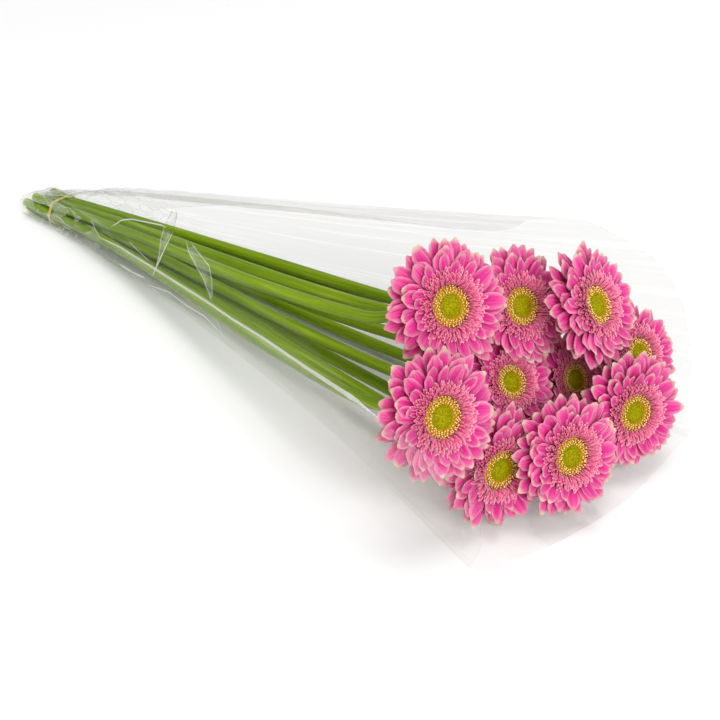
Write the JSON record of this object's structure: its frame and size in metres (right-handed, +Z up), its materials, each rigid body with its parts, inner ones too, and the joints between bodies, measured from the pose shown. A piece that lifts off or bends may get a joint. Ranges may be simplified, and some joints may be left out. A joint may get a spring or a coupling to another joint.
{
  "type": "sleeved bunch of cut gerberas",
  "caption": "Bunch of pink gerberas on green stems, tied near the cut ends and lying in a clear film cone.",
  "frame": {"origin": "middle of the bunch's box, on the surface that it lies on", "axes": "+X from the cut ends to the heads, +Y away from the side that the film leaves open, +Z up"},
  "size_m": [0.6429, 0.274, 0.1659],
  "materials": {
    "stem_green": "satin, faintly hairy green stem",
    "ray_pink": "soft petal, deep pink at the root, cream at the tip",
    "fringe_pink": "soft dusty pink florets",
    "eye_yellow_green": "matt yellow-green buds and golden anthers",
    "band_rubber": "matt tan rubber",
    "clear_film": "clear glossy wrapping film"
  },
  "bodies": {
    "root": {"stem_01": "stem_green", "rays_01": "ray_pink", "fringe_01": "fringe_pink", "eye_01": "eye_yellow_green", "stem_02": "stem_green", "rays_02": "ray_pink", "fringe_02": "fringe_pink", "eye_02": "eye_yellow_green", "stem_03": "stem_green", "rays_03": "ray_pink", "fringe_03": "fringe_pink", "eye_03": "eye_yellow_green", "stem_04": "stem_green", "rays_04": "ray_pink", "fringe_04": "fringe_pink", "eye_04": "eye_yellow_green", "stem_05": "stem_green", "rays_05": "ray_pink", "fringe_05": "fringe_pink", "eye_05": "eye_yellow_green", "stem_06": "stem_green", "rays_06": "ray_pink", "fringe_06": "fringe_pink", "eye_06": "eye_yellow_green", "stem_07": "stem_green", "rays_07": "ray_pink", "fringe_07": "fringe_pink", "eye_07": "eye_yellow_green", "stem_08": "stem_green", "rays_08": "ray_pink", "fringe_08": "fringe_pink", "eye_08": "eye_yellow_green", "stem_09": "stem_green", "rays_09": "ray_pink", "fringe_09": "fringe_pink", "eye_09": "eye_yellow_green", "stem_10": "stem_green", "rays_10": "ray_pink", "fringe_10": "fringe_pink", "eye_10": "eye_yellow_green", "rubber_band": "band_rubber", "film_sleeve": "clear_film"}
  },
  "joints": []
}
